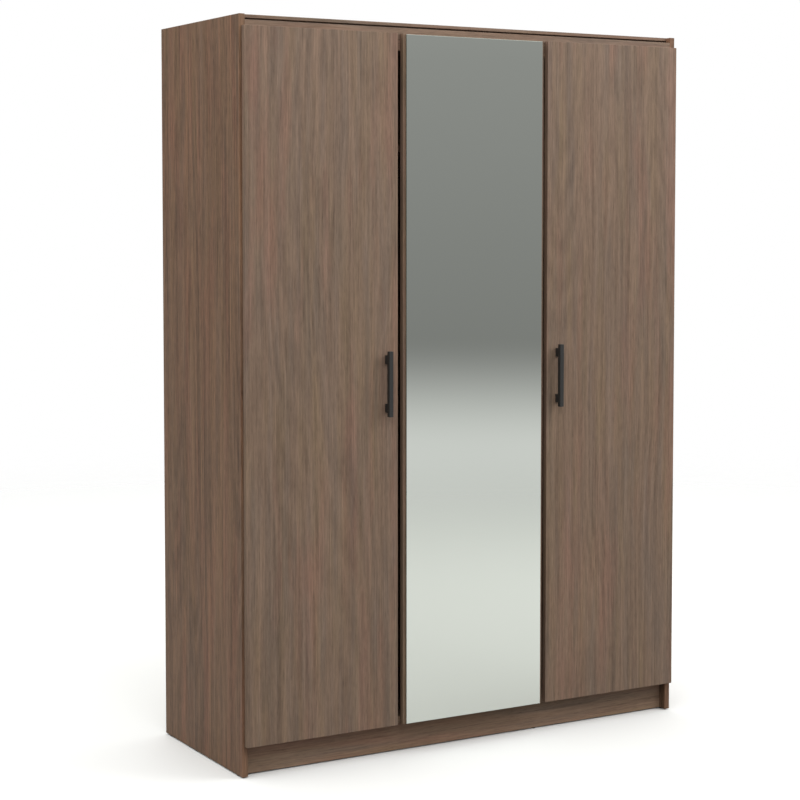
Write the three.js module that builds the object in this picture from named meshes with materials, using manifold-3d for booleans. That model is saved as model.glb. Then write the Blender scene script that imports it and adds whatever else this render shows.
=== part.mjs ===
// A three-door wardrobe in wood-effect board: side, top, bottom and partition panels, a recessed
// plinth, three overlay doors on concealed cup hinges, a full-height mirror on the middle door,
// two square bar handles, a hat shelf with a hanging rail, and four shelves.
// Millimetres, +Z up. The front faces -Y and the origin is on the floor under the middle of the box.
import * as THREE from 'three';
import { mergeVertices } from 'three/addons/utils/BufferGeometryUtils.js';
import Module from 'manifold-3d';

const wasm = await Module();
wasm.setup();

// ---- Driving dimensions ----
const width = 1376;
const height = 1950;
const depth = 494;
const board = 16;
const gap = 0.3;

const glideHeight = 3;
const glideRadius = 7.5;
const glideChamfer = [1, 0.6];
const glideInset = 30;
const plinthHeight = 84;
const plinthSetback = 25;
const rearPlinthSetback = 470;
const railHeight = 60;
const railTopDrop = 14.5;
const shadowGroove = { top: 8.5, depth: 10 };

const backThickness = 3;
const backRebateWidth = 8;
const backRebateDepth = 4.7;
const backInset = 1.4;
const backEndMargin = 1;
const stripFlange = 14;
const stripSkin = 0.8;
const stripWeb = 1.2;

const reveal = 6;
const doorSpacing = 16;
const doorStandoff = 2;
const doorBottom = 83;
const doorTop = 1920;

const mirrorThickness = 4;
const mirrorBacking = 2.4;
const backingInset = 0.5;
const mirrorSideMargin = 6.9;
const mirrorTopMargin = 3;
const mirrorBottomMargin = 2;

const handleLength = 173;
const handleBar = 12;
const handlePostSpacing = 128;
const handlePostHeight = 23;
const handlePostWidth = 10;
const handleReach = 26;
const handleCentreHeight = 1000;
const handleEdgeDistance = 34;

const hatShelfHeight = 1612;
const shelfCount = 4;
const shelfSetback = 30;
const shelfBackGap = 8;
const shelfSideGap = 0.7;

const tubeHeight = 30;
const tubeDepth = 15;
const tubeWall = 1.2;
const tubeAxisHeight = 1562;
const tubeAxisSetback = 250;
const socketRim = 2;
const socketReach = 12;
const socketBase = 2;
const socketFlange = 9;

// A cup hinge in plan: u runs inward from the door's hinge edge, v runs back from the carcass front.
const hingeEndDistance = 100;
const pivotU = 5;
const pivotV = -12;
const cupCentreU = 21.5;
const boreRadius = 17.5;
const boreDepth = 12;
const cupWall = 1.2;
const cupFlangeRadius = 19;
const cupFlange = 0.9;
const cupWingReach = 27;
const cupWingHalfWidth = 7;
const cupSegments = 28;
const linkInner = 12;
const linkOuter = 22;
const linkAngles = [5, 60];
const cheekAngles = [8, 63.5];
const linkHalfHeight = 4;
const cheekHalfHeights = [4.4, 6];
const armRootAngle = 62;
const armRootMargin = 0.6;
const armNoseU = 10;
const armNoseFront = 2;
const armNoseChamfer = [2, 9];
const armInnerBend = [10, 24];
const armOuterBend = [15, 26];
const armDepth = 9.2;
const armEnd = 62;
const plateSpan = [30, 58];
const plateThickness = 2.5;
const plateHalfHeight = 24;

// ---- Derived dimensions ----
const doorWidth = (width - 2 * reveal - 2 * doorSpacing) / 3;
const doorBack = -doorStandoff;
const doorFront = -doorStandoff - board;
const leftDoorX = reveal;
const middleDoorX = leftDoorX + doorWidth + doorSpacing;
const rightDoorX = middleDoorX + doorWidth + doorSpacing;
const partitionX = middleDoorX + doorWidth;
const innerLeft = board;
const innerRight = width - board;
const bottomTop = plinthHeight + board;
const topUnderside = height - board;
const railTop = height - railTopDrop;
const railBottom = railTop - railHeight;
const footLevel = glideHeight + gap;
const backRear = depth - backInset;
const backFront = backRear - backThickness;
const boardRear = depth - backRebateDepth;
const overallDepth = depth - doorFront + handleReach;

// ---- Helpers ----
const WOOD = { color: 0x75614f, roughness: 0.55, metalness: 0 };
const HARDBOARD = { color: 0x8a7560, roughness: 0.75, metalness: 0 };
const STEEL = { color: 0xb9bcc0, roughness: 0.3, metalness: 1 };
const ANTHRACITE = { color: 0x333333, roughness: 0.45, metalness: 0.2 };
const SILVERED = { color: 0xd5d9d6, roughness: 0.03, metalness: 1 };
const PLASTIC = { color: 0x2b2a29, roughness: 0.6, metalness: 0 };

const wardrobe = new THREE.Group();
wardrobe.position.set(-width / 2, -depth + overallDepth / 2, 0);

function addMesh(name, geometry, finish, position = [0, 0, 0]) {
  const mesh = new THREE.Mesh(geometry, new THREE.MeshStandardMaterial(finish));
  mesh.name = name;
  mesh.position.set(...position);
  wardrobe.add(mesh);
}

// A box between two corners, measured from the left face, the carcass front and the floor.
function boxGeometry([x0, y0, z0], [x1, y1, z1]) {
  const geometry = new THREE.BoxGeometry(x1 - x0, y1 - y0, z1 - z0);
  return geometry.translate((x0 + x1) / 2, (y0 + y1) / 2, (z0 + z1) / 2);
}

function addBoard(name, low, high, finish = WOOD) {
  addMesh(name, boxGeometry(low, high), finish);
}

function signedVolume(positions, index) {
  const [a, b, c] = [new THREE.Vector3(), new THREE.Vector3(), new THREE.Vector3()];
  let volume = 0;
  for (let i = 0; i < index.count; i += 3) {
    a.fromBufferAttribute(positions, index.getX(i));
    b.fromBufferAttribute(positions, index.getX(i + 1));
    c.fromBufferAttribute(positions, index.getX(i + 2));
    volume += a.dot(b.cross(c)) / 6;
  }
  return volume;
}

// A closed three.js geometry as a manifold solid, turned inside out where its faces point in.
function solid(geometry) {
  geometry.deleteAttribute('normal');
  geometry.deleteAttribute('uv');
  const merged = mergeVertices(geometry, 1e-4);
  const triangles = Uint32Array.from(merged.index.array);
  if (signedVolume(merged.attributes.position, merged.index) < 0) triangles.reverse();
  const vertProperties = Float32Array.from(merged.attributes.position.array);
  return new wasm.Manifold(new wasm.Mesh({ numProp: 3, vertProperties, triVerts: triangles }));
}

function geometryOf(manifold) {
  const { vertProperties, triVerts } = manifold.getMesh();
  const geometry = new THREE.BufferGeometry();
  geometry.setAttribute('position', new THREE.BufferAttribute(vertProperties, 3));
  geometry.setIndex(new THREE.BufferAttribute(triVerts, 1));
  geometry.computeVertexNormals();
  return geometry;
}

// An outline in plan, extruded upwards. side is -1 for a hinge that works from its door's right edge.
function planGeometry(outline, z0, z1, side = 1) {
  const shape = new THREE.Shape(outline.map(([u, v]) => new THREE.Vector2(side * u, v)));
  const geometry = new THREE.ExtrudeGeometry(shape, { depth: z1 - z0, bevelEnabled: false });
  return geometry.translate(0, 0, z0);
}

// An outline in the plane of a side panel (y, z), extruded from x0 to x1.
function sideGeometry(outline, x0, x1) {
  const shape = new THREE.Shape(outline.map(([y, z]) => new THREE.Vector2(y, z)));
  const geometry = new THREE.ExtrudeGeometry(shape, { depth: x1 - x0, bevelEnabled: false });
  geometry.applyMatrix4(new THREE.Matrix4().makeBasis(
    new THREE.Vector3(0, 1, 0), new THREE.Vector3(0, 0, 1), new THREE.Vector3(1, 0, 0)));
  return geometry.translate(x0, 0, 0);
}

// A round-ended slot outline, long along its second axis.
function slotOutline(halfWidth, halfLength, steps = 10) {
  const points = [];
  for (const end of [1, -1]) {
    for (let i = 0; i <= steps; i += 1) {
      const angle = Math.PI * i / steps;
      const along = halfLength - halfWidth + halfWidth * Math.sin(angle);
      points.push([end * halfWidth * Math.cos(angle), end * along]);
    }
  }
  return points;
}

// ---- Carcass ----
// The side panels run the full height, with a rebate along the inner rear edge for the back.
function addSidePanel(name, outerX, inward) {
  const outline = [
    [0, 0], [board, 0], [board, depth - backRebateDepth],
    [board - backRebateWidth, depth - backRebateDepth], [board - backRebateWidth, depth], [0, depth],
  ];
  addMesh(name, planGeometry(outline, footLevel, height, inward), WOOD, [outerX, 0, 0]);
}

addSidePanel('side_panel_left', 0, 1);
addSidePanel('side_panel_right', width, -1);

addBoard('bottom_panel', [innerLeft + gap, 0, plinthHeight], [innerRight - gap, boardRear, bottomTop]);
addBoard('top_front_rail', [innerLeft + gap, 0, railBottom], [innerRight - gap, board, railTop]);

// The top panel ends behind the front rail, with a rebate below its front edge as a shadow groove.
const topFront = board + gap;
const grooveBack = topFront + shadowGroove.depth;
const grooveTop = height - shadowGroove.top;
const topOutline = [
  [topFront, grooveTop], [topFront, height], [boardRear, height],
  [boardRear, topUnderside], [grooveBack, topUnderside], [grooveBack, grooveTop],
];
addMesh('top_panel', sideGeometry(topOutline, innerLeft + gap, innerRight - gap), WOOD);

// The partition is notched at its top front corner, round the front rail.
const partitionOutline = [
  [0, bottomTop + gap], [boardRear, bottomTop + gap], [boardRear, topUnderside - gap],
  [topFront, topUnderside - gap], [topFront, railBottom - gap], [0, railBottom - gap],
];
addMesh('partition_panel', sideGeometry(partitionOutline, partitionX, partitionX + board), WOOD);

const plinthTop = plinthHeight - gap;
for (const [name, y] of [['plinth_front', plinthSetback], ['plinth_rear', rearPlinthSetback - board]]) {
  addBoard(name, [innerLeft + gap, y, footLevel], [innerRight - gap, y + board, plinthTop]);
}

// Nail-on glides: one under each corner of the side panels and one under the middle of each plinth.
const [chamferIn, chamferUp] = glideChamfer;
const glideProfile = [
  [0, 0], [glideRadius - chamferIn, 0], [glideRadius, chamferUp],
  [glideRadius, glideHeight], [0, glideHeight],
].map(([r, z]) => new THREE.Vector2(r, z));
const glidePlaces = {
  glide_front_left: [board / 2, glideInset],
  glide_front_right: [width - board / 2, glideInset],
  glide_rear_left: [board / 2, depth - glideInset],
  glide_rear_right: [width - board / 2, depth - glideInset],
  glide_plinth_front: [partitionX + board / 2, plinthSetback + board / 2],
  glide_plinth_rear: [partitionX + board / 2, rearPlinthSetback - board / 2],
};
for (const [name, [x, y]] of Object.entries(glidePlaces)) {
  const geometry = new THREE.LatheGeometry(glideProfile, 20).rotateX(Math.PI / 2);
  addMesh(name, geometryOf(solid(geometry)), PLASTIC, [x, y, 0]);
}

// ---- Back: three hardboard sheets. Two of them meet in an H strip, two on the partition ----
const backLeft = board - backRebateWidth + gap;
const backRight = width - backLeft;
const stripX = (backLeft + partitionX + board / 2) / 2;
const partitionMiddle = partitionX + board / 2;
const backBottom = plinthHeight + backEndMargin;
const backTop = height - backEndMargin;
const sheets = {
  back_panel_left: [backLeft, stripX - stripWeb / 2 - gap],
  back_panel_middle: [stripX + stripWeb / 2 + gap, partitionMiddle - gap / 2],
  back_panel_right: [partitionMiddle + gap / 2, backRight],
};
for (const [name, [x0, x1]] of Object.entries(sheets)) {
  addBoard(name, [x0, backFront, backBottom], [x1, backRear, backTop], HARDBOARD);
}

const stripRear = backRear + gap;
const stripFront = backFront - gap;
const stripOutline = [
  [-stripFlange / 2, stripFront - stripSkin], [stripFlange / 2, stripFront - stripSkin],
  [stripFlange / 2, stripFront], [stripWeb / 2, stripFront],
  [stripWeb / 2, stripRear], [stripFlange / 2, stripRear],
  [stripFlange / 2, stripRear + stripSkin], [-stripFlange / 2, stripRear + stripSkin],
  [-stripFlange / 2, stripRear], [-stripWeb / 2, stripRear],
  [-stripWeb / 2, stripFront], [-stripFlange / 2, stripFront],
];
const stripGeometry = planGeometry(stripOutline, bottomTop + gap, topUnderside - gap);
addMesh('back_joint_strip', stripGeometry, PLASTIC, [stripX, 0, 0]);

// ---- Interior ----
const shelfRear = boardRear - shelfBackGap;
addBoard('hat_shelf', [innerLeft + gap, shelfSetback, hatShelfHeight],
  [partitionX - gap, shelfRear, hatShelfHeight + board]);

const shelfPitch = (topUnderside - bottomTop - shelfCount * board) / (shelfCount + 1) + board;
for (let i = 1; i <= shelfCount; i += 1) {
  const top = bottomTop + i * shelfPitch;
  addBoard(`shelf_${i}`, [partitionX + board + shelfSideGap, shelfSetback, top - board],
    [innerRight - shelfSideGap, shelfRear, top]);
}

// The hanging rail is an oval tube whose ends sit in two sockets.
function ovalBar(halfDepth, halfHeight, x0, x1) {
  return solid(sideGeometry(slotOutline(halfDepth, halfHeight), x0, x1));
}

const tubeLeft = innerLeft + gap + socketBase + gap;
const tubeRight = partitionX - gap - socketBase - gap;
const tubePlace = [0, tubeAxisSetback, tubeAxisHeight];
const tube = ovalBar(tubeDepth / 2, tubeHeight / 2, tubeLeft, tubeRight).subtract(
  ovalBar(tubeDepth / 2 - tubeWall, tubeHeight / 2 - tubeWall, tubeLeft - 1, tubeRight + 1));
addMesh('hanging_rail', geometryOf(tube), STEEL, tubePlace);

function addSocket(name, faceX, inward) {
  const near = faceX + inward * gap;
  const base = near + inward * socketBase;
  const mouth = near + inward * socketReach;
  const span = (a, b) => [Math.min(a, b), Math.max(a, b)];
  const grow = gap + socketRim;
  const plate = ovalBar(tubeDepth / 2 + grow, tubeHeight / 2 + socketFlange, ...span(near, base));
  const rim = ovalBar(tubeDepth / 2 + grow, tubeHeight / 2 + grow, ...span(near, mouth));
  const seat = ovalBar(tubeDepth / 2 + gap, tubeHeight / 2 + gap, ...span(base, mouth + inward));
  addMesh(name, geometryOf(plate.add(rim).subtract(seat)), STEEL, tubePlace);
}

addSocket('rail_socket_left', innerLeft, 1);
addSocket('rail_socket_right', partitionX, -1);

// ---- Doors ----
const hingeHeights = {
  bottom: doorBottom + hingeEndDistance,
  middle: (doorBottom + doorTop) / 2,
  top: doorTop - hingeEndDistance,
};

// A disc whose axis runs along Y, for the cup bores and the cups.
function turned(profile) {
  return solid(new THREE.LatheGeometry(profile.map(([r, v]) => new THREE.Vector2(r, v)), cupSegments));
}

// side is 1 for a door hung on its left edge and -1 for one hung on its right edge.
function addDoor(name, x, side) {
  const edgeX = side > 0 ? x : x + doorWidth;
  const boreFloor = doorBack - boreDepth;
  let panel = solid(boxGeometry([x, doorFront, doorBottom], [x + doorWidth, doorBack, doorTop]));
  for (const z of Object.values(hingeHeights)) {
    const bore = turned([[0, boreFloor], [boreRadius, boreFloor], [boreRadius, 1], [0, 1]]);
    panel = panel.subtract(bore.translate([edgeX + side * cupCentreU, 0, z]));
  }
  addMesh(name, geometryOf(panel), WOOD);
}

addDoor('door_left', leftDoorX, 1);
addDoor('door_middle', middleDoorX, -1);
addDoor('door_right', rightDoorX, -1);

// A sheet on the middle door, given by the faces between which it lies, with its edges let in by inset.
function addDoorSheet(name, front, back, inset, finish) {
  const left = middleDoorX + mirrorSideMargin + inset;
  const right = middleDoorX + doorWidth - mirrorSideMargin - inset;
  const bottom = doorBottom + mirrorBottomMargin + inset;
  const top = doorTop - mirrorTopMargin - inset;
  addBoard(name, [left, front, bottom], [right, back, top], finish);
}

// The mirror stands on a thin backing board of almost its own size.
const backingBack = doorFront - gap;
const backingFront = backingBack - mirrorBacking;
const mirrorBack = backingFront - gap;
addDoorSheet('mirror_backing', backingFront, backingBack, backingInset, HARDBOARD);
addDoorSheet('mirror', mirrorBack - mirrorThickness, mirrorBack, 0, SILVERED);

// ---- Handles: a square bar on two posts ----
function addHandle(name, x) {
  const barFront = doorFront - handleReach;
  const barBack = barFront + handleBar;
  const z = handleCentreHeight;
  let handle = solid(boxGeometry([x - handleBar / 2, barFront, z - handleLength / 2],
    [x + handleBar / 2, barBack, z + handleLength / 2]));
  for (const end of [-1, 1]) {
    const postZ = z + end * handlePostSpacing / 2;
    handle = handle.add(solid(boxGeometry(
      [x - handlePostWidth / 2, barBack - handleBar / 2, postZ - handlePostHeight / 2],
      [x + handlePostWidth / 2, doorFront - gap, postZ + handlePostHeight / 2])));
  }
  addMesh(name, geometryOf(handle), ANTHRACITE);
}

addHandle('handle_left', leftDoorX + doorWidth - handleEdgeDistance);
addHandle('handle_right', rightDoorX + handleEdgeDistance);

// ---- Hinges ----
function polar(radius, degrees) {
  const angle = THREE.MathUtils.degToRad(degrees);
  return [pivotU + radius * Math.cos(angle), pivotV + radius * Math.sin(angle)];
}

// A curved bar round the pivot, between two radii and two angles.
function sectorOutline([from, to], steps = 6) {
  const angles = Array.from({ length: steps + 1 }, (_, i) => from + (to - from) * i / steps);
  const outer = angles.map((angle) => polar(linkOuter, angle));
  const inner = angles.toReversed().map((angle) => polar(linkInner, angle));
  return [...outer, ...inner];
}

function cupGeometry() {
  const outer = boreRadius - gap;
  const inner = outer - cupWall;
  const floor = doorBack - boreDepth + gap;
  const flangeBack = doorBack + gap;
  const lip = flangeBack + cupFlange;
  const cup = turned([
    [0, floor], [outer, floor], [outer, flangeBack], [cupFlangeRadius, flangeBack],
    [cupFlangeRadius, lip], [inner, lip], [inner, floor + cupWall], [0, floor + cupWall],
  ]);
  const wing = new THREE.ExtrudeGeometry(
    new THREE.Shape(slotOutline(cupWingHalfWidth, cupWingReach).map(([u, z]) => new THREE.Vector2(u, z))),
    { depth: cupFlange, bevelEnabled: false });
  wing.rotateX(Math.PI / 2).translate(0, lip, 0);
  const mouth = turned([[0, floor + cupWall], [inner, floor + cupWall], [inner, lip + 1], [0, lip + 1]]);
  return geometryOf(cup.add(solid(wing)).subtract(mouth));
}

// The arm starts in two cheeks beside the link, and runs back to a plate on the panel at panelU.
function armGeometry(panelU, side) {
  const near = panelU + gap;
  const far = near + armDepth;
  const noseNear = armNoseU + gap;
  const noseFar = noseNear + armDepth;
  const [noseEnd, panelStart] = armInnerBend;
  const [outerNoseEnd, outerStart] = armOuterBend;
  const [chamfer, chamferV] = armNoseChamfer;
  const outline = [
    polar(linkInner + armRootMargin, armRootAngle), [noseNear, armNoseFront], [noseNear, noseEnd],
    [near, panelStart], [near, armEnd], [far, armEnd], [far, outerStart], [noseFar, outerNoseEnd],
    [noseFar - chamfer, chamferV], polar(linkOuter + armRootMargin, armRootAngle),
  ];
  const [plateFront, plateRear] = plateSpan;
  const plateOutline = [
    [near, plateFront], [near, plateRear],
    [near + plateThickness, plateRear], [near + plateThickness, plateFront],
  ];
  const [inside, outside] = cheekHalfHeights;
  const plate = planGeometry(plateOutline, -plateHalfHeight, plateHalfHeight, side);
  let arm = solid(planGeometry(outline, -outside, outside, side)).add(solid(plate));
  for (const [low, high] of [[inside, outside], [-outside, -inside]]) {
    arm = arm.add(solid(planGeometry(sectorOutline(cheekAngles), low, high, side)));
  }
  return geometryOf(arm);
}

// edgeX is the door's hinge edge, and panelU is how far in from it the panel that carries the arm starts.
function addHinges(door, edgeX, side, panelU) {
  for (const [level, z] of Object.entries(hingeHeights)) {
    const link = planGeometry(sectorOutline(linkAngles), -linkHalfHeight, linkHalfHeight, side);
    addMesh(`hinge_cup_${door}_${level}`, cupGeometry(), STEEL, [edgeX + side * cupCentreU, 0, z]);
    addMesh(`hinge_link_${door}_${level}`, geometryOf(solid(link)), STEEL, [edgeX, 0, z]);
    addMesh(`hinge_arm_${door}_${level}`, armGeometry(panelU, side), STEEL, [edgeX, 0, z]);
  }
}

addHinges('left', leftDoorX, 1, innerLeft - leftDoorX);
addHinges('middle', middleDoorX + doorWidth, -1, 0);
addHinges('right', rightDoorX + doorWidth, -1, rightDoorX + doorWidth - innerRight);

export default wardrobe;
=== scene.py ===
import math

import bmesh
import bpy
from mathutils import Matrix, Vector


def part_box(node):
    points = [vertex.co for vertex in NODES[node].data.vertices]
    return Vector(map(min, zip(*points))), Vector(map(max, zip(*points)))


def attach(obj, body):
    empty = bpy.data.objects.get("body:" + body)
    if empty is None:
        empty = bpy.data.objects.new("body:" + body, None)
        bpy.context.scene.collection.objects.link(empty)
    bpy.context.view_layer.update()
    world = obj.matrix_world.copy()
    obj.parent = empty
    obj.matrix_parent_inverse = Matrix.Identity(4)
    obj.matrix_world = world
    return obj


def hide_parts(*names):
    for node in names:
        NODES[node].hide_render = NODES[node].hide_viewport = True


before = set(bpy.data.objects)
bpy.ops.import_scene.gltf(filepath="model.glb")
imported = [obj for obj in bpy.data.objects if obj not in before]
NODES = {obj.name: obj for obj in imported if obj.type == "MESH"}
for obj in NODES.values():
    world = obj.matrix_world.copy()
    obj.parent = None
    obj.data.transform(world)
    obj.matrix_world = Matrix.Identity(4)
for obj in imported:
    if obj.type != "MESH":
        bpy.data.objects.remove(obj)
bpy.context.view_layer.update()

MM = 0.001
DOORS = ("left", "middle", "right")
LEVELS = ("bottom", "middle", "top")
# Along X, the way from the board that carries a door's hinges into the compartment behind the door.
HINGE_SIDE = {"left": 1, "middle": -1, "right": -1}


# ---------------------------------------------------------------- node helpers
def new_material(name):
    material = bpy.data.materials.new(name)
    material.use_nodes = True
    material.node_tree.nodes.clear()
    return material


def add(tree, kind, **values):
    """A node of that kind. Settings are given by name, and socket values as in_NAME or in_NUMBER."""
    node = tree.nodes.new(kind)
    for key, value in values.items():
        if key.startswith("in_"):
            socket = key[3:]
            node.inputs[int(socket) if socket.isdigit() else socket.replace("_", " ")].default_value = value
        else:
            setattr(node, key, value)
    return node


def link(tree, output, target):
    tree.links.new(output, target)


def math_node(tree, operation, a, b):
    node = add(tree, "ShaderNodeMath", operation=operation)
    for socket, value in ((node.inputs[0], a), (node.inputs[1], b)):
        if isinstance(value, (int, float)):
            socket.default_value = value
        else:
            link(tree, value, socket)
    return node.outputs[0]


def spread(tree, value, centre, width):
    """A 0 to 1 value, made to vary by width round centre."""
    return math_node(tree, "ADD", math_node(tree, "MULTIPLY", value, width), centre - width / 2)


def noise(tree, vector, scale, offset=(0, 0, 0), detail=2.0, roughness=0.5):
    """Soft noise from 0 to 1. scale is how often it changes per metre, along X, Y and Z."""
    mapping = add(tree, "ShaderNodeMapping", in_Scale=scale, in_Location=offset)
    link(tree, vector, mapping.inputs["Vector"])
    node = add(tree, "ShaderNodeTexNoise", in_Scale=1.0, in_Detail=detail, in_Roughness=roughness)
    link(tree, mapping.outputs["Vector"], node.inputs["Vector"])
    return node.outputs["Fac"]


def ramped(tree, value, start, end, interpolation="LINEAR"):
    """0 where the value is at start, 1 where it is at end, and held there beyond them."""
    node = add(tree, "ShaderNodeMapRange", in_1=start, in_2=end, in_3=0.0, in_4=1.0, clamp=True)
    node.interpolation_type = interpolation
    link(tree, value, node.inputs[0])
    return node.outputs[0]


def mixed(tree, factor, a, b):
    """Two colours mixed by a factor. Each colour is four numbers or an output."""
    node = add(tree, "ShaderNodeMix", data_type="RGBA")
    for socket, value in ((node.inputs[0], factor), (node.inputs[6], a), (node.inputs[7], b)):
        if isinstance(value, tuple):
            socket.default_value = value
        else:
            link(tree, value, socket)
    return node.outputs[2]


def scaled_colour(tree, colour, factor):
    """A colour, which is four numbers or an output, times a factor."""
    if isinstance(colour, tuple):
        rgb = add(tree, "ShaderNodeRGB")
        rgb.outputs[0].default_value = colour
        colour = rgb.outputs[0]
    node = add(tree, "ShaderNodeVectorMath", operation="SCALE")
    link(tree, colour, node.inputs[0])
    link(tree, factor, node.inputs["Scale"])
    return node.outputs[0]


def srgb(red, green, blue):
    """A colour given as 0 to 255 screen values, as the linear values that a shader takes."""
    def linear(value):
        value /= 255
        return value / 12.92 if value <= 0.04045 else ((value + 0.055) / 1.055) ** 2.4
    return (linear(red), linear(green), linear(blue), 1.0)


def surface(tree, **values):
    shader = add(tree, "ShaderNodeBsdfPrincipled", **values)
    output = add(tree, "ShaderNodeOutputMaterial")
    link(tree, shader.outputs[0], output.inputs[0])
    return shader


def bumped(tree, shader, height, strength, distance):
    node = add(tree, "ShaderNodeBump", in_Strength=strength, in_Distance=distance)
    link(tree, height, node.inputs["Height"])
    link(tree, node.outputs[0], shader.inputs["Normal"])


def object_coordinates(tree):
    return add(tree, "ShaderNodeTexCoord").outputs["Object"]


# ---------------------------------------------------------------- wood-effect foil
WOOD_BROWN = srgb(131, 109, 93)
WOOD_RED = srgb(141, 107, 92)
WOOD_OLIVE = srgb(133, 112, 89)
WOOD_GREY = srgb(119, 104, 94)

# The side panels are warmer, with a stronger figure. The front plinth's foil is painted lighter: painted
# light that stands in for light its recess under the doors doesn't get.
PLAIN_TINT = (1, 1, 1)
SIDE_TINT = (0.9, 0.77, 0.66)
PLINTH_PAINTED_LIGHT = (1.3, 1.27, 1.23)
PLAIN_STRENGTH = 1.0
SIDE_STRENGTH = 1.7

# How much each layer of the figure lightens and darkens the foil.
BAND_SHARE = 0.5
STREAK_SHARE = 0.62
FIBRE_SHARE = 0.7
FLECK_SHARE = 0.72
ARCH_SHARE = 0.06
PORE_SHARE = 0.2
ARCH_COUNT = 120
GRAIN_DRIFT = 0.034

FOIL_ROUGHNESS = 0.54
FOIL_RELIEF = 0.0003


def make_wood_figure():
    """The printed figure, as a node group: grain along Z, in metres. Gives a colour and a height."""
    tree = bpy.data.node_groups.new("wood_figure", "ShaderNodeTree")
    tree.interface.new_socket("Vector", in_out="INPUT", socket_type="NodeSocketVector")
    tree.interface.new_socket("Strength", in_out="INPUT", socket_type="NodeSocketFloat")
    tree.interface.new_socket("Color", in_out="OUTPUT", socket_type="NodeSocketColor")
    tree.interface.new_socket("Height", in_out="OUTPUT", socket_type="NodeSocketFloat")
    inputs = tree.nodes.new("NodeGroupInput").outputs
    inside = inputs["Vector"]
    outside = tree.nodes.new("NodeGroupOutput").inputs

    # A slow sideways drift keeps the streaks from being ruler-straight.
    drift = math_node(tree, "MULTIPLY", noise(tree, inside, (4, 4, 0.9), (3, 1, 7)), GRAIN_DRIFT)
    apart = add(tree, "ShaderNodeSeparateXYZ")
    link(tree, inside, apart.inputs[0])
    together = add(tree, "ShaderNodeCombineXYZ")
    link(tree, math_node(tree, "ADD", apart.outputs[0], drift), together.inputs[0])
    link(tree, math_node(tree, "ADD", apart.outputs[1], drift), together.inputs[1])
    link(tree, apart.outputs[2], together.inputs[2])

    def layer(across, along, offset, detail, roughness=0.5):
        return noise(tree, together.outputs[0], (across, across, along), offset, detail, roughness)

    olive = ramped(tree, layer(30, 2.2, (8, 1, 6), 2), 0.45, 0.95)
    grey = ramped(tree, layer(38, 2.4, (9, 2, 4), 2), 0.42, 0.9)
    red = ramped(tree, layer(20, 2.2, (0.3, 5, 2), 3), 0.48, 0.82)
    colour = mixed(tree, olive, WOOD_BROWN, WOOD_OLIVE)
    colour = mixed(tree, grey, colour, WOOD_GREY)
    colour = mixed(tree, red, colour, WOOD_RED)

    band = layer(52, 0.9, (4, 8, 1), 2)
    streak = layer(180, 1.9, (1, 6, 5), 2, 0.6)
    fibre = layer(430, 3.4, (7, 3, 2), 2, 0.7)
    fleck = layer(300, 26, (5, 2, 8), 2, 0.7)
    pore = ramped(tree, layer(760, 36, (2, 4, 9), 1), 0.6, 0.74)
    # Contours of a long, slow noise give the nested arches of plain-sawn wood.
    slow = layer(5.5, 0.5, (6, 6, 3), 1, 0.4)
    arches = math_node(tree, "SINE", math_node(tree, "MULTIPLY", slow, ARCH_COUNT), 0)

    layers = (
        (band, 0.5, BAND_SHARE),
        (streak, 0.5, STREAK_SHARE),
        (fibre, 0.5, FIBRE_SHARE),
        (fleck, 0.5, FLECK_SHARE),
        (arches, 0, ARCH_SHARE),
        (pore, 0, -PORE_SHARE),
    )
    light = 0
    for value, middle, share in layers:
        part = math_node(tree, "MULTIPLY", math_node(tree, "SUBTRACT", value, middle), share)
        light = math_node(tree, "ADD", light, part)
    light = math_node(tree, "ADD", math_node(tree, "MULTIPLY", light, inputs["Strength"]), 1)
    link(tree, scaled_colour(tree, colour, light), outside["Color"])

    height = math_node(tree, "SUBTRACT", math_node(tree, "MULTIPLY", fibre, 0.6), pore)
    link(tree, height, outside["Height"])
    return tree


WOOD_FIGURE = make_wood_figure()
GRAIN_TURN = {"Z": (0, 0, 0), "X": (0, math.radians(90), 0)}


def wood_material(name, grain, place, tint, strength):
    """Wood-effect foil for one board. place moves the figure, so that no two boards have the same."""
    material = new_material(name)
    tree = material.node_tree
    mapping = add(tree, "ShaderNodeMapping", in_Rotation=GRAIN_TURN[grain], in_Location=place)
    link(tree, object_coordinates(tree), mapping.inputs["Vector"])
    figure = add(tree, "ShaderNodeGroup", node_tree=WOOD_FIGURE, in_Strength=strength)
    link(tree, mapping.outputs[0], figure.inputs["Vector"])
    shader = surface(tree, in_IOR=1.45, in_Specular_IOR_Level=0.22)
    toned = add(tree, "ShaderNodeVectorMath", operation="MULTIPLY", in_1=tint)
    link(tree, figure.outputs["Color"], toned.inputs[0])
    link(tree, toned.outputs[0], shader.inputs["Base Color"])
    sheen = math_node(tree, "MULTIPLY", figure.outputs["Height"], -0.12)
    link(tree, math_node(tree, "ADD", sheen, FOIL_ROUGHNESS), shader.inputs["Roughness"])
    bumped(tree, shader, figure.outputs["Height"], 0.35, FOIL_RELIEF)
    return material


# ---------------------------------------------------------------- the other materials
def speckled(name, colour, roughness, metallic, scale, amount, relief, **values):
    """A plain finish broken up by fine noise in its colour, roughness and surface."""
    material = new_material(name)
    tree = material.node_tree
    coordinates = object_coordinates(tree)
    shader = surface(tree, in_Metallic=metallic, **values)
    broad_scale = scale / 25
    fine = noise(tree, coordinates, (scale, scale, scale), detail=3)
    broad = noise(tree, coordinates, (broad_scale, broad_scale, broad_scale), (5, 3, 8), detail=3)
    link(tree, scaled_colour(tree, colour, spread(tree, fine, 1, amount)), shader.inputs["Base Color"])
    link(tree, spread(tree, broad, roughness, 0.16), shader.inputs["Roughness"])
    bumped(tree, shader, fine, 0.3, relief)
    return material


# How far behind its front the mirror's bright face ends and its dark sides begin.
MIRROR_FACE_DEPTH = 0.0007


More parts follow.
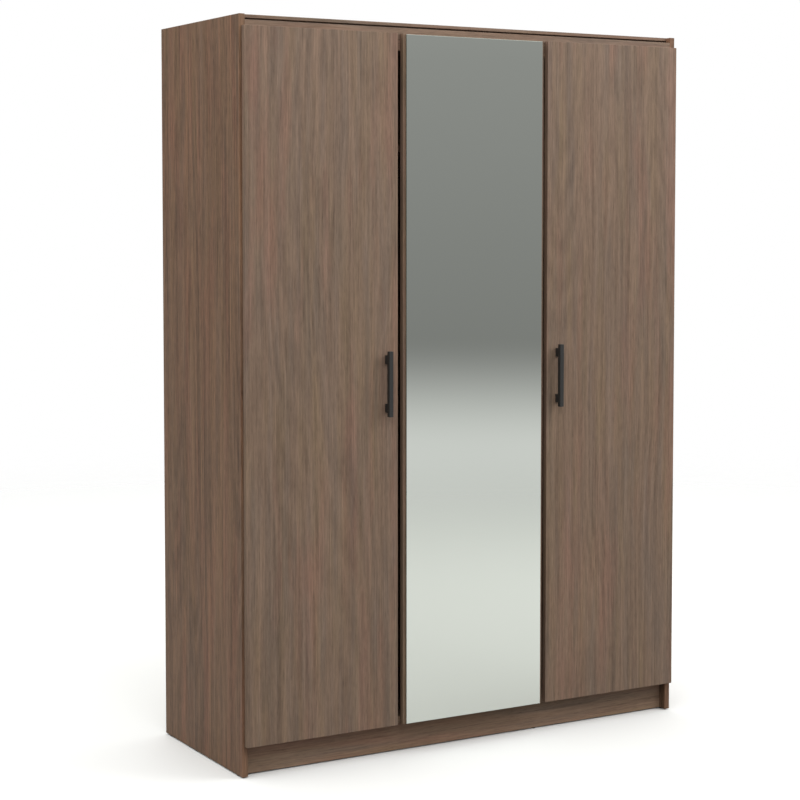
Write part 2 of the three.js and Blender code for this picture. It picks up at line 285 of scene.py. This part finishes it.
def mirror_material():
    """Silvered glass: a clear sharp reflection with a faint green-grey cast, and dark sides."""
    material = new_material("mirror_face")
    tree = material.node_tree
    coordinates = object_coordinates(tree)
    face = add(tree, "ShaderNodeBsdfPrincipled", in_Metallic=1.0, in_Roughness=0.012)
    haze = noise(tree, coordinates, (3, 3, 3))
    silver = mixed(tree, haze, (0.672, 0.70, 0.665, 1), (0.688, 0.715, 0.68, 1))
    link(tree, silver, face.inputs["Base Color"])
    side = add(tree, "ShaderNodeBsdfPrincipled", in_Roughness=0.35, in_IOR=1.5)
    grind = noise(tree, coordinates, (900, 900, 900), detail=3)
    link(tree, mixed(tree, grind, srgb(52, 56, 49), srgb(78, 83, 74)), side.inputs["Base Color"])
    apart = add(tree, "ShaderNodeSeparateXYZ")
    link(tree, coordinates, apart.inputs[0])
    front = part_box("mirror")[0].y
    behind = math_node(tree, "GREATER_THAN", apart.outputs[1], front + MIRROR_FACE_DEPTH)
    blend = add(tree, "ShaderNodeMixShader")
    link(tree, behind, blend.inputs[0])
    link(tree, face.outputs[0], blend.inputs[1])
    link(tree, side.outputs[0], blend.inputs[2])
    link(tree, blend.outputs[0], add(tree, "ShaderNodeOutputMaterial").inputs[0])
    return material


def brushed_material(name, colour, roughness):
    """Plated steel with fine scratches along X."""
    material = new_material(name)
    tree = material.node_tree
    coordinates = object_coordinates(tree)
    shader = surface(tree, in_Metallic=0.8)
    scratches = noise(tree, coordinates, (150, 1400, 2600), detail=3)
    patches = noise(tree, coordinates, (60, 60, 60), (4, 4, 1), detail=3)
    link(tree, scaled_colour(tree, colour, spread(tree, patches, 1, 0.18)), shader.inputs["Base Color"])
    link(tree, spread(tree, scratches, roughness, 0.14), shader.inputs["Roughness"])
    bumped(tree, shader, scratches, 0.15, 0.00004)
    return material


def hardboard_material():
    """The back sheets and the mirror's backing: smooth pressed fibre with a faint mottle."""
    material = new_material("hardboard")
    tree = material.node_tree
    coordinates = object_coordinates(tree)
    shader = surface(tree, in_IOR=1.45)
    fibres = noise(tree, coordinates, (420, 420, 300), detail=4, roughness=0.7)
    mottle = noise(tree, coordinates, (9, 9, 7), (3, 3, 3), detail=4)
    colour = mixed(tree, fibres, srgb(128, 104, 82), srgb(158, 134, 108))
    link(tree, scaled_colour(tree, colour, spread(tree, mottle, 1, 0.22)), shader.inputs["Base Color"])
    link(tree, spread(tree, fibres, 0.72, 0.2), shader.inputs["Roughness"])
    bumped(tree, shader, fibres, 0.5, 0.0002)
    return material


MIRROR_FACE = mirror_material()
HARDBOARD = hardboard_material()
NICKEL = brushed_material("nickel_steel", srgb(206, 203, 196), roughness=0.34)
GLASS_EDGE = speckled("ground_glass_edge", srgb(196, 206, 198), roughness=0.3, metallic=0.55,
                      scale=900, amount=0.1, relief=0.00003)
POWDER_COAT = speckled("anthracite_coat", srgb(34, 34, 34), roughness=0.46, metallic=0.0,
                       scale=2600, amount=0.5, relief=0.00006, in_IOR=1.5)
CHROME = speckled("bright_chrome", srgb(205, 207, 210), roughness=0.14, metallic=1.0,
                  scale=500, amount=0.05, relief=0.00001)
DARK_PLASTIC = speckled("dark_plastic", srgb(42, 40, 38), roughness=0.55, metallic=0.0,
                        scale=1500, amount=0.3, relief=0.00005)
BROWN_PLASTIC = speckled("brown_plastic", srgb(106, 86, 70), roughness=0.5, metallic=0.0,
                         scale=1500, amount=0.15, relief=0.00004)
CLEAR_BUMPER = speckled("bumper_plastic", srgb(196, 192, 184), roughness=0.35, metallic=0.0,
                        scale=900, amount=0.08, relief=0.00003)

# ---------------------------------------------------------------- finishes on the CAD nodes
WELD_DISTANCE = 0.000005
NODE_SHARP_ANGLE = math.radians(50)
PIECE_SHARP_ANGLE = math.radians(35)
BOARD_EDGE = 0.7
SHEET_EDGE = 0.2
MIRROR_EDGE = 0.6
HANDLE_EDGE = 0.9
HINGE_ARM_EDGE = 0.4
HINGE_LINK_EDGE = 0.5

UPRIGHT_BOARDS = ("side_panel_left", "side_panel_right", "partition_panel",
                  "door_left", "door_middle", "door_right")
LEVEL_BOARDS = ("bottom_panel", "top_panel", "top_front_rail", "plinth_front", "plinth_rear",
                "hat_shelf", "shelf_1", "shelf_2", "shelf_3", "shelf_4")
SHEETS = ("back_panel_left", "back_panel_middle", "back_panel_right", "mirror_backing")

# Each board shows another place of the wood figure, these steps on from the board before it.
FIGURE_START = 0.35
FIGURE_STEPS = (1.7, 0.9, 2.3)


def soften(thing, edge, segments, sharp_angle):
    """Rounds the sharp edges of a node or piece by a bevel modifier. edge is in millimetres."""
    bevel = thing.modifiers.new("soft_edges", "BEVEL")
    bevel.width = edge * MM
    bevel.segments = segments
    bevel.limit_method = "ANGLE"
    bevel.angle_limit = sharp_angle
    return bevel


def finish_node(name, material, edge=0.0, segments=2, edge_material=None):
    """A material and softened edges on a CAD node. Its own mesh stays as it is."""
    node = NODES[name]
    node.data.materials.clear()
    node.data.materials.append(material)
    if not edge:
        return
    node.modifiers.new("weld", "WELD").merge_threshold = WELD_DISTANCE
    bevel = soften(node, edge, segments, NODE_SHARP_ANGLE)
    if edge_material:
        node.data.materials.append(edge_material)
        bevel.material = 1


def finish_boards():
    for grain, boards in (("Z", UPRIGHT_BOARDS), ("X", LEVEL_BOARDS)):
        for number, board in enumerate(boards):
            tint = PLAIN_TINT
            strength = PLAIN_STRENGTH
            if board.startswith("side_panel"):
                tint = SIDE_TINT
                strength = SIDE_STRENGTH
            # Painted light: the front plinth gets a lighter foil in place of light that the doors above
            # shade from it.
            if board == "plinth_front":
                tint = PLINTH_PAINTED_LIGHT
            across, deep, along = (step * number for step in FIGURE_STEPS)
            place = (across + FIGURE_START, deep, along)
            foil = wood_material(f"{board}_foil", grain, place, tint, strength)
            finish_node(board, foil, BOARD_EDGE)


def finish_others():
    for sheet in SHEETS:
        finish_node(sheet, HARDBOARD, SHEET_EDGE, 1)
    finish_node("back_joint_strip", BROWN_PLASTIC, SHEET_EDGE)
    finish_node("mirror", MIRROR_FACE, MIRROR_EDGE, 1, GLASS_EDGE)
    for handle in ("handle_left", "handle_right"):
        finish_node(handle, POWDER_COAT, HANDLE_EDGE, 3)
    for door in DOORS:
        for level in LEVELS:
            finish_node(f"hinge_arm_{door}_{level}", NICKEL, HINGE_ARM_EDGE)
            finish_node(f"hinge_link_{door}_{level}", NICKEL, HINGE_LINK_EDGE)
    for name in NODES:
        if name.startswith("glide_"):
            finish_node(name, DARK_PLASTIC)


finish_boards()
finish_others()


# ---------------------------------------------------------------- mesh helpers, all in millimetres
def new_object(name, mesh):
    piece = bpy.data.objects.new(name, mesh)
    bpy.context.scene.collection.objects.link(piece)
    return piece


def mesh_from(bm):
    bmesh.ops.recalc_face_normals(bm, faces=bm.faces)
    mesh = bpy.data.meshes.new("solid")
    bm.to_mesh(mesh)
    bm.free()
    return mesh


def revolved(profile, segments=48):
    """A solid turned about Z from (radius, height) points. The profile starts and ends on the axis."""
    bm = bmesh.new()
    rings = []
    for radius, height in profile:
        if radius == 0:
            rings.append([bm.verts.new((0, 0, height * MM))])
            continue
        ring = []
        for i in range(segments):
            angle = 2 * math.pi * i / segments
            x = radius * MM * math.cos(angle)
            y = radius * MM * math.sin(angle)
            ring.append(bm.verts.new((x, y, height * MM)))
        rings.append(ring)
    for low, high in zip(rings, rings[1:]):
        for i in range(segments):
            j = (i + 1) % segments
            corners = [low[i % len(low)], low[j % len(low)], high[j % len(high)], high[i % len(high)]]
            bm.faces.new(list(dict.fromkeys(corners)))
    return mesh_from(bm)


def rod(radius, low, high, chamfer, segments=24):
    """A round rod along Z with chamfered ends."""
    return revolved([(0, low), (radius - chamfer, low), (radius, low + chamfer),
                     (radius, high - chamfer), (radius - chamfer, high), (0, high)], segments)


def extruded(outline, low, high):
    """A solid of an outline in X and Y, from height low to height high."""
    bm = bmesh.new()
    bottom = [bm.verts.new((x * MM, y * MM, low * MM)) for x, y in outline]
    top = [bm.verts.new((x * MM, y * MM, high * MM)) for x, y in outline]
    bm.faces.new(list(reversed(bottom)))
    bm.faces.new(top)
    for i in range(len(outline)):
        j = (i + 1) % len(outline)
        bm.faces.new((bottom[i], bottom[j], top[j], top[i]))
    return mesh_from(bm)


def slot_outline(half_width, half_length, steps=16):
    """A round-ended slot, long along its second axis."""
    points = []
    for end in (1, -1):
        for i in range(steps + 1):
            angle = math.pi * i / steps
            along = half_length - half_width + half_width * math.sin(angle)
            points.append((end * half_width * math.cos(angle), end * along))
    return points


def rectangle(half_width, half_length):
    return [(-half_width, -half_length), (half_width, -half_length),
            (half_width, half_length), (-half_width, half_length)]


def combined(base, other, operation):
    """The union or difference of two solids, as a new mesh."""
    first = new_object("base", base)
    second = new_object("other", other)
    modifier = first.modifiers.new("boolean", "BOOLEAN")
    modifier.object = second
    modifier.operation = operation
    modifier.solver = "EXACT"
    evaluated = first.evaluated_get(bpy.context.evaluated_depsgraph_get())
    mesh = bpy.data.meshes.new_from_object(evaluated)
    for spare in (first, second):
        bpy.data.objects.remove(spare)
    mesh.materials.clear()
    return mesh


def gathered(parts):
    """One mesh of several solids, each given as (mesh, matrix)."""
    bm = bmesh.new()
    for mesh, matrix in parts:
        start = len(bm.verts)
        bm.from_mesh(mesh)
        bm.verts.ensure_lookup_table()
        bmesh.ops.transform(bm, matrix=matrix, verts=bm.verts[start:])
    return mesh_from(bm)


def facing(direction, place):
    """Turns a solid's Z axis to a direction, and moves its origin to a place in metres."""
    return Matrix.Translation(place) @ Vector(direction).to_track_quat("Z", "Y").to_matrix().to_4x4()


def finish_piece(name, mesh, body, material, edge=0.0, segments=2):
    piece = new_object(name, mesh)
    mesh.materials.append(material)
    if edge:
        soften(piece, edge, segments, PIECE_SHARP_ANGLE)
    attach(piece, body)
    return piece


def screw_head(radius, height):
    """A domed head with a cross recess."""
    head = revolved([(0, 0), (radius, 0), (radius, height * 0.35), (radius * 0.88, height * 0.75),
                     (radius * 0.55, height * 0.96), (0, height)], 32)
    long, narrow = radius * 0.6, radius * 0.14
    for arm in ((long, narrow), (narrow, long)):
        head = combined(head, extruded(rectangle(*arm), height * 0.45, height * 2), "DIFFERENCE")
    return head


def button(radius, rim, shoulder_radius, shoulder, crown, segments, sunk=0.0):
    """A low round head: an upright rim, a slope up to a shoulder, and a crown."""
    return revolved([(0, -sunk), (radius, -sunk), (radius, rim), (shoulder_radius, shoulder), (0, crown)],
                    segments)


# How far a cutting solid runs past the face that it cuts.
CLEAR = 1

# ---------------------------------------------------------------- hinges
CUP_DEPTH = 12.9
CUP_RADIUS = 17.2
CUP_WALL = 1.2
CUP_ROUND = 0.8
CUP_INNER_ROUND = 0.7
FLANGE_RADIUS = 19
FLANGE_THICKNESS = 0.9
WING_HALF_WIDTH = 7
WING_HALF_LENGTH = 27
# A ring of points on the lid that the mouth cuts away, so that no long thin triangles reach its rim.
LID_RING_RADIUS = 12
CUP_SCREW_STEP = 22
CUP_EDGE = 0.22

PIN_FROM_CUP = (10.8, 5.5)
PIN_RADIUS = 1.5
PIN_HALF_LENGTH = 8.5
PIN_CHAMFER = 0.2
EAR_HALF_WIDTH = 2.2
EAR_HALF_LENGTH = 3.4
EAR_HALF_THICKNESS = 0.6
EAR_STEP = 7.4
EAR_DROP = 1.2

PLATE_FACE = 2.5
PLATE_SCREW_STEP = 17
PLATE_SCREW_BACK = 18
ARM_FACE = 9.2
ARM_SCREWS_BACK = (9, 27)

SMALL_SCREW = screw_head(3.4, 1.5)
LARGE_SCREW = screw_head(4.2, 1.9)


def cup_mesh():
    """A pressed cup with a flange and two screw wings. Its lip lies at height 0 and its floor below."""
    inside = CUP_RADIUS - CUP_WALL
    floor = CUP_WALL - CUP_DEPTH
    cup = revolved([(0, -CUP_DEPTH), (CUP_RADIUS - CUP_ROUND, -CUP_DEPTH),
                    (CUP_RADIUS, CUP_ROUND - CUP_DEPTH), (CUP_RADIUS, -FLANGE_THICKNESS),
                    (FLANGE_RADIUS, -FLANGE_THICKNESS), (FLANGE_RADIUS, 0),
                    (LID_RING_RADIUS, 0), (0, 0)], 64)
    wings = extruded(slot_outline(WING_HALF_WIDTH, WING_HALF_LENGTH), -FLANGE_THICKNESS, 0)
    mouth = revolved([(0, floor), (inside - CUP_INNER_ROUND, floor), (inside, floor + CUP_INNER_ROUND),
                      (inside, CLEAR), (0, CLEAR)], 64)
    return combined(combined(cup, wings, "UNION"), mouth, "DIFFERENCE")


def pin_and_ears(centre, side):
    """The pin and its two ears on the hinge side of a cup, clear of the link's path."""
    across, down = PIN_FROM_CUP
    place = centre + Vector((-side * across, -down, 0)) * MM
    pin = rod(PIN_RADIUS, -PIN_HALF_LENGTH, PIN_HALF_LENGTH, PIN_CHAMFER)
    ear = extruded(slot_outline(EAR_HALF_WIDTH, EAR_HALF_LENGTH, 8), -EAR_HALF_THICKNESS, EAR_HALF_THICKNESS)
    parts = [(pin, Matrix.Translation(place))]
    for height in (-EAR_STEP, EAR_STEP):
        parts.append((ear, Matrix.Translation(place + Vector((0, -EAR_DROP, height)) * MM)))
    return parts


def screws_on_arm(door, level, side):
    """Two screws in an arm's plate and two on the arm itself."""
    low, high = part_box(f"hinge_arm_{door}_{level}")
    board = low.x if side > 0 else high.x
    middle = (low.z + high.z) / 2
    parts = []
    for step in (-PLATE_SCREW_STEP, PLATE_SCREW_STEP):
        place = (board + side * PLATE_FACE * MM, high.y - PLATE_SCREW_BACK * MM, middle + step * MM)
        parts.append((LARGE_SCREW, facing((side, 0, 0), place)))
    for back in ARM_SCREWS_BACK:
        place = (board + side * ARM_FACE * MM, high.y - back * MM, middle)
        parts.append((SMALL_SCREW, facing((side, 0, 0), place)))
    return parts


def make_hinge_fittings(door):
    side = HINGE_SIDE[door]
    body = f"door_{door}"
    cup_screws = []
    pins = []
    arm_screws = []
    for level in LEVELS:
        low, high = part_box(f"hinge_cup_{door}_{level}")
        centre = Vector(((low.x + high.x) / 2, high.y, (low.z + high.z) / 2))
        cup = cup_mesh()
        cup.transform(facing((0, 1, 0), centre))
        piece = finish_piece(f"cup_{door}_{level}", cup, body, NICKEL, CUP_EDGE)
        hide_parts(f"hinge_cup_{door}_{level}")
        for step in (-CUP_SCREW_STEP, CUP_SCREW_STEP):
            cup_screws.append((SMALL_SCREW, facing((0, 1, 0), centre + Vector((0, 0, step * MM)))))
        pins += pin_and_ears(centre, side)
        arm_screws += screws_on_arm(door, level, side)
    finish_piece(f"cup_screws_{door}", gathered(cup_screws), body, NICKEL)
    finish_piece(f"cup_pins_{door}", gathered(pins), body, NICKEL)
    finish_piece(f"arm_screws_{door}", gathered(arm_screws), "carcass", NICKEL)


for hinged_door in DOORS:
    make_hinge_fittings(hinged_door)

# ---------------------------------------------------------------- hanging rail and its sockets
RAIL_HALF_DEPTH = 7.5
RAIL_HALF_HEIGHT = 15
RAIL_WALL = 1.2
RAIL_EDGE = 0.2

SOCKET_HALF_DEPTH = 9.8
SOCKET_HALF_HEIGHT = 17.3
SOCKET_BASE = 2
SOCKET_PLAY = 0.3
SOCKET_PLATE_HALF_HEIGHT = 24
SOCKET_EDGE = 0.4
SOCKET_SCREW_STEP = 20.6
SOCKET_SCREW = screw_head(2.6, 1.1)

ALONG_X = Matrix.Rotation(math.radians(90), 4, "Y") @ Matrix.Rotation(math.radians(90), 4, "Z")


def oval(half_depth, half_height, start, end):
    """An oval bar along X. start and end are places in metres, in either order."""
    low, high = sorted((start, end))
    mesh = extruded(slot_outline(half_depth, half_height, 24), low / MM, high / MM)
    mesh.transform(ALONG_X)
    return mesh


def make_socket(end, inward, axis):
    """A socket with an open end for the rail, and its two screws. inward is the way to the rail."""
    low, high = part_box(f"rail_socket_{end}")
    near = low.x if inward > 0 else high.x
    mouth = high.x if inward > 0 else low.x
    base = near + inward * SOCKET_BASE * MM
    plate = oval(SOCKET_HALF_DEPTH, SOCKET_PLATE_HALF_HEIGHT, near, base)
    rim = oval(SOCKET_HALF_DEPTH, SOCKET_HALF_HEIGHT, near, mouth)
    seat = oval(RAIL_HALF_DEPTH + SOCKET_PLAY, RAIL_HALF_HEIGHT + SOCKET_PLAY,
                base, mouth + inward * CLEAR * MM)
    socket = combined(combined(plate, rim, "UNION"), seat, "DIFFERENCE")
    socket.transform(axis)
    piece = finish_piece(f"socket_{end}", socket, "carcass", CHROME, SOCKET_EDGE)
    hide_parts(f"rail_socket_{end}")
    screws = []
    for step in (-SOCKET_SCREW_STEP, SOCKET_SCREW_STEP):
        screws.append((SOCKET_SCREW, facing((inward, 0, 0), axis @ Vector((base, 0, step * MM)))))
    return screws


def make_rail():
    low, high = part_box("hanging_rail")
    axis = Matrix.Translation((0, (low.y + high.y) / 2, (low.z + high.z) / 2))
    bar = oval(RAIL_HALF_DEPTH, RAIL_HALF_HEIGHT, low.x, high.x)
    bore = oval(RAIL_HALF_DEPTH - RAIL_WALL, RAIL_HALF_HEIGHT - RAIL_WALL,
                low.x - CLEAR * MM, high.x + CLEAR * MM)
    tube = combined(bar, bore, "DIFFERENCE")
    tube.transform(axis)
    piece = finish_piece("rail_tube", tube, "carcass", CHROME, RAIL_EDGE)
    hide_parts("hanging_rail")
    screws = make_socket("left", 1, axis) + make_socket("right", -1, axis)
    finish_piece("socket_screws", gathered(screws), "carcass", CHROME)


make_rail()

# ---------------------------------------------------------------- shelf pegs and their rows of holes
SHELF_COUNT = 4
PEG_FROM_FRONT = 37
PEG_FROM_BACK = 51
PEG_DROP = 2.7
PEG_RADIUS = 2.5
PEG_DEPTH = 7
PEG_CHAMFER = 0.2
COLLAR_RADIUS = 4
COLLAR_THICKNESS = 0.8
PEG_EDGE = 0.2

PADDLE_START = 0.5
PADDLE_LENGTH = 8
PADDLE_HALF_WIDTH = 4.5
PADDLE_CORNER = 2
PADDLE_THICKNESS = 2
PADDLE_DROP = 2.2

HOLE_RADIUS = 2.65
HOLE_DEPTH = 9
HOLE_STEP = 32
HOLE_ROWS = (-2, -1, 0, 1, 2)


def peg_mesh():
    """The pin of a shelf peg, with a thin collar that lies on the board from height 0 up."""
    tip = PEG_RADIUS - PEG_CHAMFER
    rim = COLLAR_RADIUS - PEG_CHAMFER
    return revolved([(0, -PEG_DEPTH), (tip, -PEG_DEPTH), (PEG_RADIUS, PEG_CHAMFER - PEG_DEPTH),
                     (PEG_RADIUS, 0), (COLLAR_RADIUS, 0), (COLLAR_RADIUS, COLLAR_THICKNESS - PEG_CHAMFER),
                     (rim, COLLAR_THICKNESS), (0, COLLAR_THICKNESS)], 24)


def paddle_mesh():
    """The flat tongue of a shelf peg, which the shelf lies on. It points along X."""
    shoulder = PADDLE_LENGTH - PADDLE_CORNER
    tip = PADDLE_HALF_WIDTH - PADDLE_CORNER
    outline = [(PADDLE_START, -PADDLE_HALF_WIDTH), (shoulder, -PADDLE_HALF_WIDTH), (PADDLE_LENGTH, -tip),
               (PADDLE_LENGTH, tip), (shoulder, PADDLE_HALF_WIDTH), (PADDLE_START, PADDLE_HALF_WIDTH)]
    return extruded(outline, 0, PADDLE_THICKNESS)


def drill(board, holes):
    """Cuts holes into a CAD node by a modifier, after its weld and before its soft edges."""
    cutter = new_object(f"{board}_peg_bores", gathered(holes))
    cutter.hide_render = True
    cutter.hide_viewport = True
    modifiers = NODES[board].modifiers
    bores = modifiers.new("peg_bores", "BOOLEAN")
    bores.object = cutter
    bores.operation = "DIFFERENCE"
    bores.solver = "EXACT"
    modifiers.move(len(modifiers) - 1, 1)


def make_pegs():
    """Four pegs under each shelf, in rows of holes that let the shelf be moved up and down."""
    peg = peg_mesh()
    paddle = paddle_mesh()
    bore = revolved([(0, -HOLE_DEPTH), (HOLE_RADIUS, -HOLE_DEPTH), (HOLE_RADIUS, CLEAR), (0, CLEAR)], 16)
    pegs = []
    for board, inward in (("partition_panel", 1), ("side_panel_right", -1)):
        board_low, board_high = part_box(board)
        face = board_high.x if inward > 0 else board_low.x
        turn = Matrix.Rotation(0 if inward > 0 else math.pi, 4, "Z")
        holes = []
        for number in range(1, SHELF_COUNT + 1):
            low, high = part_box(f"shelf_{number}")
            for y in (low.y + PEG_FROM_FRONT * MM, high.y - PEG_FROM_BACK * MM):
                place = Vector((face, y, low.z - PEG_DROP * MM))
                pegs.append((peg, facing((inward, 0, 0), place)))
                pegs.append((paddle, Matrix.Translation((face, y, low.z - PADDLE_DROP * MM)) @ turn))
                for row in HOLE_ROWS:
                    hole = place + Vector((0, 0, row * HOLE_STEP * MM))
                    holes.append((bore, facing((inward, 0, 0), hole)))
        drill(board, holes)
    finish_piece("shelf_pegs", gathered(pegs), "carcass", CHROME, PEG_EDGE, 1)


make_pegs()

# ---------------------------------------------------------------- caps, nails and door bumpers
CAP_FROM_FRONT = 60
CAP_FROM_END = 34
NAIL_FROM_SIDE = 5
NAIL_FROM_END = 7
NAILS_UP = 13
NAILS_ACROSS = 4
BUMPER_FROM_EDGE = 14


def make_caps():
    """Cover caps over the cam fittings, under the ends of the top panel and the hat shelf."""
    cap = revolved([(0, 0), (8.5, 0), (8.5, 0.5), (8.1, 0.9), (5, 1.15), (0, 1.2)], 40)
    partition_low, partition_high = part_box("partition_panel")
    hat_low, hat_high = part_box("hat_shelf")
    top_low, top_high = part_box("top_panel")
    spans = ((top_low.z, top_low.x, partition_low.x), (top_low.z, partition_high.x, top_high.x),
             (hat_low.z, hat_low.x, hat_high.x))
    parts = []
    for z, start, end in spans:
        for x in (start + CAP_FROM_END * MM, end - CAP_FROM_END * MM):
            for y in (hat_low.y + CAP_FROM_FRONT * MM, hat_high.y - CAP_FROM_FRONT * MM):
                parts.append((cap, facing((0, 0, -1), (x, y, z))))
    finish_piece("cam_cover_caps", gathered(parts), "carcass", BROWN_PLASTIC)


def nail_columns(sheet, low, high):
    """The upright rows of nails in one back sheet: at each edge that lies on a board."""
    left = low.x + NAIL_FROM_SIDE * MM
    right = high.x - NAIL_FROM_SIDE * MM
    return {"left": [left], "middle": [right], "right": [right, left]}[sheet]


def make_nails():
    """Flat-headed nails round the edges of the back sheets, and along the rear edge of the partition."""
    nail = button(radius=2.6, rim=0.3, shoulder_radius=2.1, shoulder=0.62, crown=0.75, segments=20, sunk=0.2)
    parts = []
    for sheet in ("left", "middle", "right"):
        low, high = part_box(f"back_panel_{sheet}")
        places = []
        for x in nail_columns(sheet, low, high):
            for i in range(NAILS_UP):
                places.append((x, low.z + (high.z - low.z) * (i + 0.5) / NAILS_UP))
        for i in range(NAILS_ACROSS):
            x = low.x + (high.x - low.x) * (i + 0.5) / NAILS_ACROSS
            places.append((x, low.z + NAIL_FROM_END * MM))
            places.append((x, high.z - NAIL_FROM_END * MM))
        parts += [(nail, facing((0, 1, 0), (x, high.y, z))) for x, z in places]
    finish_piece("back_nails", gathered(parts), "carcass", NICKEL)


def make_bumpers():
    """Two soft dots on the back of each door, near its free edge, where it closes on the carcass."""
    dot = button(radius=4, rim=0.6, shoulder_radius=3.3, shoulder=1.2, crown=1.35, segments=32)
    rail_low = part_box("top_front_rail")[0]
    bottom_low, bottom_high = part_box("bottom_panel")
    for door in DOORS:
        low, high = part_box(f"door_{door}")
        inset = BUMPER_FROM_EDGE * MM
        x = high.x - inset if HINGE_SIDE[door] > 0 else low.x + inset
        heights = ((rail_low.z + high.z) / 2, (bottom_low.z + bottom_high.z) / 2)
        parts = [(dot, facing((0, 1, 0), (x, high.y, z))) for z in heights]
        finish_piece(f"door_bumpers_{door}", gathered(parts), f"door_{door}", CLEAR_BUMPER)


make_caps()
make_nails()
make_bumpers()

# ---------------------------------------------------------------- stage, light and camera
FLOOR_RADIUS = 7.0
FLOOR_FADE = (2.2, 6.5)

# The floor and the ground beyond it are pale to the eye and in the mirror, but give little light back.
FLOOR_SEEN = (0.9, 0.9, 0.9, 1)
FLOOR_MIRRORED = (0.68, 0.68, 0.67, 1)
GROUND_MIRRORED = (0.83, 0.835, 0.82, 1)
BOUNCE = (0.14, 0.138, 0.136, 1)

# The studio's brightness by how steeply a ray rises: dim at eye level, bright overhead.
SKY = ((-0.07, 0.278), (0.08, 0.364), (0.35, 0.78), (1.0, 1.25))
SKY_CAST = (1, 1.01, 0.98)
HORIZON_FADE = (-0.064, -0.124)

# Each lamp: name, place, the point that it is turned to, width, and power in watts.
LAMP_HEIGHT = 1.6
LAMPS = (
    ("key_left", (-1.4, -2.7, 3.5), (-0.1, 0, 1.9), 2.4, 38),
    ("key_right", (2.7, -2.2, 3.3), (0.5, 0, 1.3), 2.2, 58),
    ("fill", (-3.0, 0.2, 3.5), (-0.7, 0, 1.9), 2.2, 19),
    ("rear", (0.3, 3.2, 3.4), (0, 0, 1.2), 2.4, 30),
)

CAMERA_PLACE = (-2.7613, -4.6091, 1.4510)
CAMERA_HEADING = math.radians(30.09)
CAMERA_PITCH = math.radians(-3.22)
CAMERA_LENS = 86.1
CAMERA_SENSOR = 36
CAMERA_SHIFT = -0.1


def floor_material():
    material = new_material("floor_paint")
    tree = material.node_tree
    distance = add(tree, "ShaderNodeVectorMath", operation="LENGTH")
    link(tree, object_coordinates(tree), distance.inputs[0])
    edge = ramped(tree, distance.outputs["Value"], *FLOOR_FADE, "SMOOTHSTEP")
    path = add(tree, "ShaderNodeLightPath")
    seen = mixed(tree, path.outputs["Is Camera Ray"], FLOOR_MIRRORED, FLOOR_SEEN)
    paint = mixed(tree, path.outputs["Is Diffuse Ray"], seen, BOUNCE)
    diffuse = add(tree, "ShaderNodeBsdfDiffuse")
    link(tree, paint, diffuse.inputs["Color"])
    clear = add(tree, "ShaderNodeBsdfTransparent")
    blend = add(tree, "ShaderNodeMixShader")
    link(tree, edge, blend.inputs[0])
    link(tree, diffuse.outputs[0], blend.inputs[1])
    link(tree, clear.outputs[0], blend.inputs[2])
    link(tree, blend.outputs[0], add(tree, "ShaderNodeOutputMaterial").inputs[0])
    return material


def make_floor():
    """A pale round floor under the wardrobe that fades out a few metres away."""
    bm = bmesh.new()
    bmesh.ops.create_circle(bm, cap_ends=True, segments=96, radius=FLOOR_RADIUS)
    mesh = bpy.data.meshes.new("floor")
    bm.to_mesh(mesh)
    bm.free()
    mesh.materials.append(floor_material())
    new_object("floor", mesh)


def make_world():
    """White behind the wardrobe, and a soft grey studio for everything it reflects."""
    world = bpy.data.worlds.new("studio")
    bpy.context.scene.world = world
    world.use_nodes = True
    tree = world.node_tree
    tree.nodes.clear()
    apart = add(tree, "ShaderNodeSeparateXYZ")
    link(tree, add(tree, "ShaderNodeTexCoord").outputs["Generated"], apart.inputs[0])
    rise = apart.outputs[2]
    ramp = add(tree, "ShaderNodeValToRGB")
    stops = ramp.color_ramp.elements
    for number, (steepness, level) in enumerate(SKY):
        stop = stops[number] if number < 2 else stops.new(steepness)
        stop.position = (steepness + 1) / 2
        stop.color = (*(level * part for part in SKY_CAST), 1)
    link(tree, math_node(tree, "ADD", math_node(tree, "MULTIPLY", rise, 0.5), 0.5), ramp.inputs[0])
    below = ramped(tree, rise, *HORIZON_FADE, "SMOOTHSTEP")
    path = add(tree, "ShaderNodeLightPath")
    ground = mixed(tree, path.outputs["Is Diffuse Ray"], GROUND_MIRRORED, BOUNCE)
    room = add(tree, "ShaderNodeBackground")
    link(tree, mixed(tree, below, ramp.outputs[0], ground), room.inputs["Color"])
    white = add(tree, "ShaderNodeBackground", in_Color=(1, 1, 1, 1))
    blend = add(tree, "ShaderNodeMixShader")
    link(tree, path.outputs["Is Camera Ray"], blend.inputs[0])
    link(tree, room.outputs[0], blend.inputs[1])
    link(tree, white.outputs[0], blend.inputs[2])
    link(tree, blend.outputs[0], add(tree, "ShaderNodeOutputWorld").inputs[0])


def make_lamps():
    for name, place, target, width, power in LAMPS:
        light = bpy.data.lights.new(name, "AREA")
        light.shape = "RECTANGLE"
        light.size = width
        light.size_y = LAMP_HEIGHT
        light.energy = power
        lamp = new_object(name, light)
        lamp.location = place
        lamp.rotation_euler = (Vector(target) - Vector(place)).to_track_quat("-Z", "Y").to_euler()


def make_camera():
    """The photographer stands to the front left, a little above the middle, and looks slightly down."""
    camera = bpy.data.cameras.new("camera")
    camera.lens = CAMERA_LENS
    camera.sensor_width = CAMERA_SENSOR
    camera.shift_y = CAMERA_SHIFT
    stand = new_object("camera", camera)
    stand.location = CAMERA_PLACE
    forward = math.cos(CAMERA_PITCH)
    look = Vector((math.sin(CAMERA_HEADING) * forward, math.cos(CAMERA_HEADING) * forward,
                   math.sin(CAMERA_PITCH)))
    stand.rotation_euler = look.to_track_quat("-Z", "Y").to_euler()
    bpy.context.scene.camera = stand


make_floor()
make_world()
make_lamps()
make_camera()
bpy.context.scene.view_settings.view_transform = "Standard"
